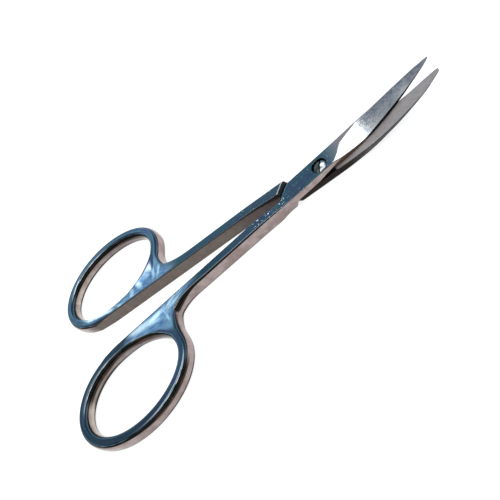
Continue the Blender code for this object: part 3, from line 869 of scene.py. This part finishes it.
        # Hole walls painted lighter where they face towards the blade
        hole_wall = self.mixed(right.between(-0.2, 0.9), self.HOLE_FAR, self.HOLE_END)
        wall = self.mixed(facing, *wall_colours)
        wall = self.mixed(self.hole, wall, hole_wall)
        wall = self.mixed(warm * 0.30, wall, self.ROSY)
        for start, end, colour in walls_along:
            wall = self.mixed(x.between(start, end), wall, colour)
        wall = self.mixed(self.patches * 0.22 + self.mottle * 0.12, wall, self.BLACK)
        # Painted shade high on the hole walls
        wall = self.mixed(self.hole * self.z.between(0.9, 2.2) * 0.45, wall, self.HOLE_TOP)
        # A painted dark band where a wall rounds into the top, wider on some sides and deeper in the
        # holes
        wide = (right * 0.80 - self.away * 0.60).between(0.45, 0.95)
        deeper = self.hole * (0.13 + 0.22 * (0 - right).between(-0.6, 0.4))
        band = (level + band_height * wide + deeper).between(0.37, 0.52)
        band = band * self.turned * (1 - facing)
        # Painted shade on the undersides, up to the heel
        under = (0 - self.up).between(0.02, 0.25) * (1 - x.between(*self.UNDER_ENDS))
        shade = self.mixed(warm, self.BAND, self.WARM_BAND)
        # The bands, the undersides and the stop painted in shade
        wall = self.mixed(band + under + self.at_stop * 0.9, wall, shade)
        # A painted highlight line along the roundings, orange on the shank
        sheen = level.within(0.72, 0.78, 0.84, 0.90) * self.turned * self.sides * self.patches
        sheen = sheen * (1 - self.at_stop) * (1 - facing) * (1 - x.between(*self.SHEEN_ENDS))
        light = self.mixed(x.between(*self.EMBER_STARTS), self.SHEEN, self.EMBER)
        wall = self.mixed(sheen * 0.6, wall, light)
        # A painted highlight on the stop's bevel
        return self.mixed(self.bevel, wall, self.BEVEL)

    def blade(self, colour):
        """The colour with the ground face, its mirror part painted near white as its reflection, then
        satin, and the dull meeting face.
        """
        along = self.node("ShaderNodeValToRGB", {"stops": SATIN_STOPS}, self.x / SATIN_REACH)
        cloud = self.patches * 0.20 + self.mottle * 0.25 + self.speckle * 0.6 + self.grain * 0.9
        indigo = (cloud + self.y * 0.14 - 0.70).between(0.0, 0.6)
        satin = self.mixed(indigo * 0.8, along, self.INDIGO)
        ground = self.mixed(self.satin, self.MIRROR, satin)
        colour = self.mixed(self.ground, colour, ground)
        dull = self.mixed(self.mottle, self.DULL, self.DULL_DARK)
        return self.mixed(self.meeting, colour, dull)

    def flecks(self):
        """Painted sparkling highlights where the steel is worn near the joint, coarser on the upper
        half's shank.
        """
        worn = self.x.within(*self.WORN_SPAN) * self.top
        scratched = self.x.within(*self.SCRATCHED_SPAN) * (1 - self.stop_edge)
        fine = (self.speckle + 0.03 * scratched).between(0.65, 0.71)
        coarse = self.noise(self.place, 1700.0, 1.0, 0.5).between(0.66, 0.71)
        return (fine + coarse * scratched) * worn


HEAD_SEAT = 0.00201
SEAT_RADIUS = 0.00153
SHAFT_HOLE_RADIUS = 0.00086
ROUND_SIDES = 96
upper_plan = Plan(
    length=0.06478,
    face=0.00045,
    wall=0.00214,
    shank=0.00200,
    flare=0.0070,
    heel=0.00184,
    heel_corners=(0.0004, 0.00022),
    heel_cut=0.0011,
    crotch_turn=math.radians(32),
    crotch_span=0.0049,
    stop_slant=0.00265,
    tail=TAIL_REACH,
    slant=0.0025,
    strokes=(-0.0005, 0.0045),
)
upper_half = forged_half("upper_half_polished", upper_plan, is_upper=True, spine_corner=0.00015)
drilled(upper_half, SHAFT_HOLE_RADIUS)
drilled(upper_half, SEAT_RADIUS, low=HEAD_SEAT)
marked(upper_half, is_upper=True)
shaded(upper_half, degrees=30)
upper_finish = ForgedSteel(
    "polished_steel_upper",
    # The rims' tops painted a darker reflection
    rim_colour=(0.15, 0.185, 0.215),
    # Walls painted a warm reflection of the table
    wall_colours=((0.34, 0.275, 0.265), (0.34, 0.275, 0.265)),
    facing_from=-0.1,
    # The plate's edge wall turns brown, then the blade's edge wall is painted near black as shade
    walls_along=((2.0, 3.5, (0.26, 0.175, 0.125)), (8.8, 9.8, (0.022, 0.018, 0.018))),
    buffed_span=(0.5, 6.0),
    band_height=0.30,
    stop_edge=0.0,
    # The web's painted highlights
    glints=(
        (-36.7, -0.3, 22, 1.4, 0.3),
        (-41.0, -0.7, 5, 1.2, 0.4),
        (-38.3, -4.5, 104, 2.4, 0.25),
        (-45.4, -0.5, -12, 3.2, 0.8),
        (-34.3, 0.0, 13, 1.1, 0.2),
        (-36.4, -1.1, 11, 1.8, 0.35),
        (-46.3, -0.45, -12, 1.6, 0.4),
    ),
    rim_glints=(),
)
upper_half.data.materials.append(upper_finish.material)
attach(upper_half, "upper")
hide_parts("upper_half")

# The lower half
# The matching forging, turned over: its plate and blade lie under the upper one's. Its broad
# inside wall is painted darker, as shade between the halves, and the flat inside face of its
# blade shows the grinding.

THREAD_RADIUS = 0.00081
LOWER_TAIL_SETBACK = 0.0004
lower_plan = Plan(
    length=0.06584,
    face=-0.00065,
    wall=0.00187,
    shank=0.00210,
    flare=0.0100,
    heel=0.00272,
    heel_corners=(0.0006, 0.0006),
    heel_cut=0,
    crotch_turn=math.radians(30),
    crotch_span=0.0054,
    stop_slant=0.0021,
    tail=TAIL_REACH - LOWER_TAIL_SETBACK,
    slant=0.0025,
    strokes=(-0.0100, 0.0015),
)
lower_half = forged_half("lower_half_polished", lower_plan, is_upper=False, spine_corner=0.0005)
drilled(lower_half, THREAD_RADIUS)
marked(lower_half, is_upper=False)
shaded(lower_half, degrees=30)
lower_finish = ForgedSteel(
    "polished_steel_lower",
    # The rims' tops painted a darker reflection
    rim_colour=(0.20, 0.27, 0.33),
    # Walls painted a warm reflection of the table, the facing wall darker as painted shade between the
    # halves
    wall_colours=((0.40, 0.315, 0.300), (0.135, 0.113, 0.100)),
    facing_from=-0.85,
    # Walls painted in shade: darker towards the joint, near black at the stop, then dark along the
    # blade's spine
    walls_along=(
        (-24.0, -10.0, (0.075, 0.060, 0.060)),
        (-9.2, -8.6, (0.022, 0.018, 0.018)),
        (4.0, 9.0, (0.085, 0.078, 0.078)),
    ),
    buffed_span=(40.0, 50.0),
    band_height=0.12,
    stop_edge=1.0,
    # The web's painted highlights
    glints=(
        (-40.1, -4.1, 87, 2.0, 0.35),
        (-43.9, -2.9, 61, 1.3, 0.5),
        (-45.9, -1.9, 96, 0.9, 0.5),
        (-53.4, -1.9, 11, 5.5, 0.4),
        (-38.2, -3.5, 116, 1.5, 0.3),
    ),
    # Painted highlights on the rim
    rim_glints=(
        (-59.5, -3.7, 32, 2.4, 0.35),
        (-54.5, -1.9, 12, 3.5, 0.35),
        (-61.9, -15.2, -55, 2.2, 0.13),
    ),
)
lower_half.data.materials.append(lower_finish.material)
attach(lower_half, "lower")
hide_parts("lower_half")

# The pivot screw
# A small turned screw with a low domed head and a sawn slot, its slot painted dark as shade and
# one side of its head painted lighter, with a painted highlight spot. It is screwed into the lower
# half and lets the upper half turn under its head.

HEAD_RADIUS = 0.00135
SHAFT_RADIUS = 0.00080
SHAFT_LENGTH = HEAD_SEAT + 0.00004
HEAD_TOP = 0.00270
HEAD_SIDE = 0.00030
CROWN_HEIGHT = 0.00030
CROWN_SHARE = 0.94
HEAD_STEPS = 14
EDGE_BREAK = 0.00005
SAW_SIZE = (0.004, 0.00032, 0.00062)
SAW_TURN = math.radians(64)
bpy.ops.object.select_all(action="DESELECT")
bpy.ops.mesh.primitive_cylinder_add(
    vertices=ROUND_SIDES, radius=SHAFT_RADIUS, depth=SHAFT_LENGTH, location=(0, 0, SHAFT_LENGTH / 2)
)
screw = bpy.context.object
screw.name = "pivot_screw_bright"
bpy.ops.object.mode_set(mode="EDIT")
bm = bmesh.from_edit_mesh(screw.data)
for face in bm.faces:
    face.select_set(face.normal.z > 0.9)
bmesh.update_edit_mesh(screw.data)


def grown(radius_step, height_step):
    """The top face pulled up and out by one step of the head's profile."""
    bpy.ops.mesh.extrude_region_move(TRANSFORM_OT_translate={"value": (0, 0, height_step)})
    top = [v for v in bmesh.from_edit_mesh(screw.data).verts if v.select]
    radius = top[0].co.xy.length
    share = (radius + radius_step) / radius
    bpy.ops.transform.resize(value=(share, share, 1))


grown(HEAD_RADIUS - EDGE_BREAK - SHAFT_RADIUS, 0)
grown(EDGE_BREAK, EDGE_BREAK)
grown(0, HEAD_SIDE)
for step in range(HEAD_STEPS - 1):
    here = math.pi / 2 * step / HEAD_STEPS
    there = math.pi / 2 * (step + 1) / HEAD_STEPS
    narrower = HEAD_RADIUS * CROWN_SHARE * (math.cos(there) - math.cos(here))
    grown(narrower, CROWN_HEIGHT * (math.sin(there) - math.sin(here)))
bpy.ops.object.mode_set(mode="OBJECT")
screw.data.transform(screw.matrix_world)
screw.matrix_world = Matrix.Identity(4)
bpy.ops.mesh.primitive_cube_add(size=1, location=(0, 0, HEAD_TOP))
saw = bpy.context.object
saw.scale = SAW_SIZE
saw.rotation_euler.z = SAW_TURN
bpy.context.view_layer.update()
cut = screw.modifiers.new("slot", "BOOLEAN")
cut.operation = "DIFFERENCE"
cut.solver = "EXACT"
cut.object = saw
bpy.context.view_layer.objects.active = screw
bpy.ops.object.modifier_apply(modifier=cut.name)
bpy.data.objects.remove(saw)
rounding = screw.modifiers.new("edges", "BEVEL")
rounding.width = 0.00003
rounding.segments = 2
rounding.limit_method = "ANGLE"
rounding.angle_limit = math.radians(40)
bpy.ops.object.modifier_apply(modifier=rounding.name)
shaded(screw, degrees=35)
bright = Finish("bright_screw_steel")
place = bright.node("ShaderNodeTexCoord", {}, output=3)
normal = bright.node("ShaderNodeTexCoord", {}, output=1)
tarnish = bright.noise(place, 1500.0, 3.0, 0.6).between(0.35, 0.7)
flat = bright.scaled(place, (1000.0, 1000.0, 0.0))
middle = (0.56, -0.16, 0.0)
apart = bright.node("ShaderNodeVectorMath", {"operation": "DISTANCE"}, flat, middle, output=1)
# A painted highlight spot on the head
polish = 1 - apart.between(0.32, 0.60)
# The side of the head turned towards the light, painted lighter
leaning = bright.part(normal, "X") * 0.946 - bright.part(normal, "Y") * 0.325
clean = leaning.between(-0.06, 0.04)
# The slot and the head's side in its seat, painted dark as shade
deep = 1 - (bright.part(place, "Z") * 1000).between(2.40, 2.47)
steel_grey = bright.mixed(tarnish, (0.34, 0.32, 0.28), (0.17, 0.16, 0.13))
steel_grey = bright.mixed(clean, steel_grey, (0.48, 0.46, 0.46))
steel_grey = bright.mixed(polish, steel_grey, (1.0, 0.99, 0.97))
bright.feeds(
    Base_Color=bright.mixed(deep, steel_grey, (0.018, 0.016, 0.016)),
    Roughness=0.16 + 0.14 * tarnish,
    Metallic=1 - 0.80 * polish,
)
screw.data.materials.append(bright.material)
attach(screw, "lower")
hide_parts("pivot_screw")

# The table and the light
# A plain pale table top under a soft overcast light, with a ring of brighter light overhead
# that the steel mirrors. Straight from the camera, all that lies past the table is white.

TABLE_SIZE = 6
TABLE_DROP = 0.00003
bpy.ops.mesh.primitive_plane_add(size=TABLE_SIZE, location=(0, 0, -TABLE_DROP))
table_top = bpy.context.object
table_top.name = "table_top"
pale = Finish(
    "pale_table", Roughness=0.9, Emission_Color=(1.0, 1.0, 1.0, 1.0), Emission_Strength=0.82
)
place = pale.node("ShaderNodeTexCoord", {}, output=3)
pale.feeds(Base_Color=pale.mixed(pale.noise(place, 60.0), (0.34, 0.335, 0.33), (0.32, 0.315, 0.31)))
table_top.data.materials.append(pale.material)

bpy.ops.object.light_add(type="SUN", location=(0, 0, 1))
overcast = bpy.context.object
overcast.data.energy = 2.2
overcast.data.angle = math.radians(120)
overcast.rotation_euler = (math.radians(8), math.radians(-6), 0)
overcast.visible_glossy = False

world = bpy.data.worlds.new("soft_studio")
bpy.context.scene.world = world
world.use_nodes = True
sky = world.node_tree
background = sky.nodes["Background"]
light = Nodes(sky)
height = light.part(light.node("ShaderNodeTexCoord", {}), "Z")
SKY_STOPS = (
    (0.00, (0.005, 0.004, 0.004)),
    (0.12, (0.008, 0.009, 0.010)),
    (0.22, (0.150, 0.240, 0.310)),
    (0.46, (0.150, 0.240, 0.310)),
    (0.58, (0.036, 0.060, 0.078)),
    (0.68, (0.034, 0.062, 0.080)),
    (0.79, (0.070, 0.100, 0.125)),
    (0.86, (0.30, 0.34, 0.37)),
    (0.905, (0.96, 0.96, 0.95)),
    (0.955, (0.96, 0.96, 0.95)),
    (0.985, (0.22, 0.23, 0.24)),
    (1.000, (0.15, 0.16, 0.17)),
)
gradient = light.node("ShaderNodeValToRGB", {"stops": SKY_STOPS}, height)
camera_ray = light.node("ShaderNodeLightPath", {})
seen = light.mixed(camera_ray, gradient, (0.40, 0.40, 0.40))
sky.links.new(seen.socket, background.inputs[0])
background.inputs[1].default_value = 2.5

# The camera
# It stands off the lower half's side, level with the blades, and looks down on the middle of the
# scissors at about forty degrees. It is rolled, so that they lie from corner to corner.

view = bpy.data.cameras.new("photo_view")
view.sensor_width = 36
view.lens = 44.84
view.clip_start = 0.002
view.clip_end = 20
camera = bpy.data.objects.new("photo_view", view)
bpy.context.collection.objects.link(camera)
right, up, back = (
    Vector((0.7472, -0.2566, -0.6131)),
    Vector((0.5903, 0.6802, 0.4347)),
    Vector((0.3055, -0.6867, 0.6597)),
)
turn = Matrix((right, up, back)).transposed().to_4x4()
camera.matrix_world = Matrix.Translation((0.01527, -0.08020, 0.07420)) @ turn
bpy.context.scene.camera = camera
bpy.context.scene.view_settings.view_transform = "Standard"
bpy.context.scene.view_settings.look = "None"
